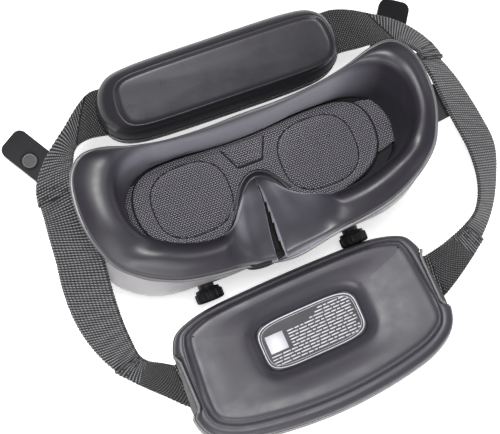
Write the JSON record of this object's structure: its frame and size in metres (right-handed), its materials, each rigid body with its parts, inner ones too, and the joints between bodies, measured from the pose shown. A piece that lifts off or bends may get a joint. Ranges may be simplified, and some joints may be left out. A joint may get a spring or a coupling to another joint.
{
  "type": "fpv goggles",
  "caption": "Video goggles for flying drones, lying on the front visor: rubber face cup, knit lens cover, folding antennas, webbing headband with forehead pad and battery pod.",
  "frame": {"origin": "on the flat front of the visor that the goggles lie on, under the middle of the two lenses", "axes": "+X towards the wearer's right, +Y upwards as worn, +Z out of the face cup towards the wearer's face"},
  "size_m": [0.2253, 0.1835, 0.102],
  "materials": {
    "soft_rubber": "satin moulded silicone",
    "pad_rubber": "soft-touch coated foam",
    "knit": "heather charcoal knit",
    "webbing": "elastic ribbed webbing",
    "shell_gray": "fine-texture moulded",
    "frame_gray": "fine-texture moulded",
    "black_matte": "fine spark texture",
    "dark_gray": "fine-texture moulded",
    "black_gloss": "polished",
    "label": "printed blank label",
    "lens_glass": "coated optical lens",
    "display_glass": "dark display window",
    "steel": "plain steel",
    "sink_metal": "anodised",
    "board_green": "solder-masked board",
    "cell_wrap": "shrink-wrapped cell",
    "light_pipe": "translucent light pipe"
  },
  "bodies": {
    "goggles": {"front_visor": "black_gloss", "main_housing": "shell_gray", "face_plate": "black_matte", "cup_frame": "frame_gray", "face_cup": "soft_rubber", "guide_rods": "steel", "rod_blocks": "dark_gray", "main_board": "board_green", "heat_sink": "sink_metal", "fan_frame": "black_matte", "front_cameras": "black_gloss", "proximity_sensor": "black_gloss", "vent_grille": "black_matte", "usb_port": "steel", "antenna_pins": "steel", "anchor_pins": "steel", "housing_screws": "steel"},
    "lens_cover": {"lens_cover": "knit"},
    "fan": {"fan_impeller": "dark_gray"},
    "five_way": {"five_way_button": "black_matte"},
    "back": {"back_button": "black_matte"},
    "link": {"link_button": "black_matte"},
    "headband": {"strap_clip_left": "black_matte", "strap_clip_right": "black_matte", "anchor_tab_right": "dark_gray", "strap_left": "webbing", "strap_right": "webbing", "pod_shell": "frame_gray", "pod_cover": "dark_gray", "pod_pad": "pad_rubber", "label_plate": "label", "battery_cells": "cell_wrap", "battery_board": "board_green", "strap_bars": "steel", "level_lights": "light_pipe", "pod_port": "steel", "pod_screws": "steel"},
    "power": {"power_button": "black_matte"},
    "forehead": {"pad_strap_left": "webbing", "pad_strap_right": "webbing", "forehead_shell": "dark_gray", "forehead_cushion": "pad_rubber"},
    "antenna_left": {"antenna_left": "black_matte", "antenna_caps_left": "dark_gray"},
    "optics_left": {"barrel_left": "black_matte", "carriage_left": "dark_gray", "display_left": "display_glass"},
    "focus_left": {"lens_cell_left": "black_matte", "lens_left": "lens_glass"},
    "latch_left": {"knob_shaft_left": "dark_gray"},
    "dial_left": {"focus_knob_left": "black_matte"},
    "antenna_right": {"antenna_right": "black_matte", "antenna_caps_right": "dark_gray"},
    "optics_right": {"barrel_right": "black_matte", "carriage_right": "dark_gray", "display_right": "display_glass"},
    "focus_right": {"lens_cell_right": "black_matte", "lens_right": "lens_glass"},
    "latch_right": {"knob_shaft_right": "dark_gray"},
    "dial_right": {"focus_knob_right": "black_matte"}
  },
  "joints": [
    {"name": "lens_cover_lift", "type": "slide", "parent": "goggles", "child": "lens_cover", "axis": [0, -0.1392, 0.9903], "range_m": [0, 0.045]},
    {"name": "antenna_fold_left", "type": "hinge", "parent": "goggles", "child": "antenna_left", "pos_m": [-0.0736, 0.0168, 0.0215], "axis": [0, 0, 1], "range_deg": [0, 144]},
    {"name": "ipd_left", "type": "slide", "parent": "goggles", "child": "optics_left", "axis": [1, 0, 0], "range_m": [-0.004, 0.004]},
    {"name": "knob_lock_left", "type": "slide", "parent": "optics_left", "child": "latch_left", "axis": [0, 1, 0], "range_m": [0, 0.0014]},
    {"name": "dial_turn_left", "type": "hinge", "parent": "latch_left", "child": "dial_left", "pos_m": [-0.038, -0.042, 0.022], "axis": [0, -1, 0], "range_deg": [-150, 150]},
    {"name": "focus_left", "type": "slide", "parent": "optics_left", "child": "focus_left", "axis": [0, 0, 1], "range_m": [-0.0015, 0.0015]},
    {"name": "antenna_fold_right", "type": "hinge", "parent": "goggles", "child": "antenna_right", "pos_m": [0.0736, 0.0168, 0.0215], "axis": [0, 0, -1], "range_deg": [0, 147.5]},
    {"name": "ipd_right", "type": "slide", "parent": "goggles", "child": "optics_right", "axis": [1, 0, 0], "range_m": [-0.004, 0.004]},
    {"name": "knob_lock_right", "type": "slide", "parent": "optics_right", "child": "latch_right", "axis": [0, 1, 0], "range_m": [0, 0.0014]},
    {"name": "dial_turn_right", "type": "hinge", "parent": "latch_right", "child": "dial_right", "pos_m": [0.038, -0.042, 0.022], "axis": [0, -1, 0], "range_deg": [-150, 150]},
    {"name": "focus_right", "type": "slide", "parent": "optics_right", "child": "focus_right", "axis": [0, 0, 1], "range_m": [-0.0015, 0.0015]},
    {"name": "fan_spin", "type": "hinge", "parent": "goggles", "child": "fan", "pos_m": [0.07, -0.003, 0.034], "axis": [0, 0, 1], "continuous": true},
    {"name": "five_way_press", "type": "slide", "parent": "goggles", "child": "five_way", "axis": [0, -1, 0], "range_m": [0, 0.0007], "stiffness_N_per_m": 1500, "springref_m": -0.0002},
    {"name": "back_press", "type": "slide", "parent": "goggles", "child": "back", "axis": [0, -1, 0], "range_m": [0, 0.0006], "stiffness_N_per_m": 1500, "springref_m": -0.0002},
    {"name": "link_press", "type": "slide", "parent": "goggles", "child": "link", "axis": [0, -1, 0], "range_m": [0, 0.0006], "stiffness_N_per_m": 1500, "springref_m": -0.0002},
    {"name": "headband_lift", "type": "hinge", "parent": "goggles", "child": "headband", "pos_m": [0, 0.005, 0.045], "axis": [-1, 0, 0], "range_deg": [0, 30]},
    {"name": "forehead_tilt", "type": "hinge", "parent": "goggles", "child": "forehead", "pos_m": [0, 0.005, 0.045], "axis": [1, 0, 0], "range_deg": [-10, 8]},
    {"name": "power_press", "type": "slide", "parent": "headband", "child": "power", "axis": [0.0349, -0.9994, 0], "range_m": [0, 0.0006], "stiffness_N_per_m": 1500, "springref_m": -0.0002}
  ],
  "couplings": [
    {"joint": "dial_turn_left", "follows": "focus_left", "rad_per_m": 1745},
    {"joint": "dial_turn_right", "follows": "focus_right", "rad_per_m": 1745}
  ]
}
